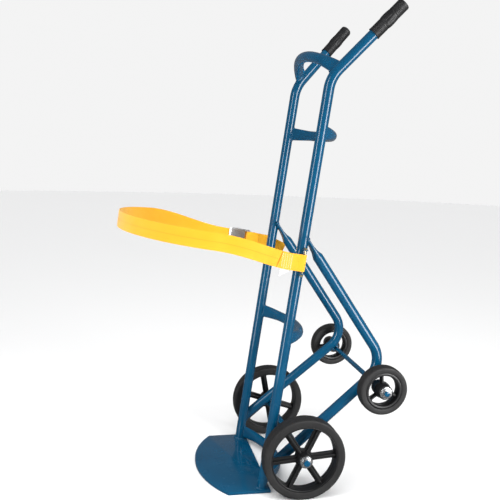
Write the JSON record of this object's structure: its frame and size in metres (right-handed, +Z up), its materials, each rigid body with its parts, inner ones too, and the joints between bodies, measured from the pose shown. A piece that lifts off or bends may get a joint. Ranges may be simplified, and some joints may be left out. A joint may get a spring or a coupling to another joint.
{
  "type": "drum dolly",
  "caption": "Leaning tube-frame truck that cradles an upright drum on a toe plate, held by a yellow strap with a cam buckle, with rear support wheels.",
  "frame": {"origin": "middle of the toe plate's underside, on the floor below the foot of the rails", "axes": "+Z up, +X to the truck's left side (the left hand of a person holding the grips), -Y towards the drum and the plate's nose, +Y towards the rear wheels and the grips"},
  "size_m": [0.6042, 0.8714, 1.4743],
  "materials": {
    "blue_gloss_paint": "gloss",
    "black_rubber": "matte",
    "grip_rubber": "matte",
    "black_plastic": "satin",
    "zinc_plate": "satin",
    "yellow_zinc_plate": "satin",
    "bush_steel": "satin",
    "yellow_webbing": "matte",
    "white_tag": "matte"
  },
  "bodies": {
    "frame": {"left_rail": "blue_gloss_paint", "left_support_tube": "blue_gloss_paint", "left_lower_lug": "blue_gloss_paint", "left_upper_lug": "blue_gloss_paint", "left_grip": "grip_rubber", "left_anchor_bolt": "yellow_zinc_plate", "left_anchor_nut": "yellow_zinc_plate", "right_rail": "blue_gloss_paint", "right_support_tube": "blue_gloss_paint", "right_lower_lug": "blue_gloss_paint", "right_upper_lug": "blue_gloss_paint", "right_grip": "grip_rubber", "right_anchor_bolt": "yellow_zinc_plate", "right_anchor_nut": "yellow_zinc_plate", "upper_cradle_bow": "blue_gloss_paint", "middle_cradle_bow": "blue_gloss_paint", "lower_cradle_bow": "blue_gloss_paint", "handle_bow": "blue_gloss_paint", "toe_plate": "blue_gloss_paint", "front_axle": "blue_gloss_paint", "rear_axle": "blue_gloss_paint", "front_left_washer": "zinc_plate", "front_left_push_nut": "zinc_plate", "front_left_axle_collar": "blue_gloss_paint", "front_right_washer": "zinc_plate", "front_right_push_nut": "zinc_plate", "front_right_axle_collar": "blue_gloss_paint", "rear_left_washer": "zinc_plate", "rear_left_push_nut": "zinc_plate", "rear_left_axle_collar": "blue_gloss_paint", "rear_right_washer": "zinc_plate", "rear_right_push_nut": "zinc_plate", "rear_right_axle_collar": "blue_gloss_paint", "strap_webbing": "yellow_webbing", "short_strap": "yellow_webbing", "strap_tag": "white_tag", "buckle_frame": "zinc_plate", "buckle_cam_pin": "zinc_plate", "buckle_anchor_pin": "zinc_plate", "buckle_spring": "bush_steel"},
    "front_left_wheel": {"front_left_tyre": "black_rubber", "front_left_wheel_centre": "black_plastic", "front_left_bushing": "bush_steel"},
    "front_right_wheel": {"front_right_tyre": "black_rubber", "front_right_wheel_centre": "black_plastic", "front_right_bushing": "bush_steel"},
    "rear_left_wheel": {"rear_left_tyre": "black_rubber", "rear_left_wheel_centre": "black_plastic", "rear_left_bushing": "bush_steel"},
    "rear_right_wheel": {"rear_right_tyre": "black_rubber", "rear_right_wheel_centre": "black_plastic", "rear_right_bushing": "bush_steel"},
    "buckle_cam": {"buckle_cam_lever": "zinc_plate"}
  },
  "joints": [
    {"name": "front_left_roll", "type": "hinge", "parent": "frame", "child": "front_left_wheel", "pos_m": [0.2428, 0.11322, 0.127], "axis": [1, 0, 0], "continuous": true},
    {"name": "front_right_roll", "type": "hinge", "parent": "frame", "child": "front_right_wheel", "pos_m": [-0.2428, 0.11322, 0.127], "axis": [1, 0, 0], "continuous": true},
    {"name": "rear_left_roll", "type": "hinge", "parent": "frame", "child": "rear_left_wheel", "pos_m": [0.2443, 0.35238, 0.33426], "axis": [1, 0, 0], "continuous": true},
    {"name": "rear_right_roll", "type": "hinge", "parent": "frame", "child": "rear_right_wheel", "pos_m": [-0.2443, 0.35238, 0.33426], "axis": [1, 0, 0], "continuous": true},
    {"name": "buckle_cam_press", "type": "hinge", "parent": "frame", "child": "buckle_cam", "pos_m": [-0.27257, -0.01477, 0.73494], "axis": [0, 0.1253, 0.9921], "range_deg": [0, 28], "stiffness_Nm_per_rad": 0.05, "springref_deg": -28.65}
  ]
}
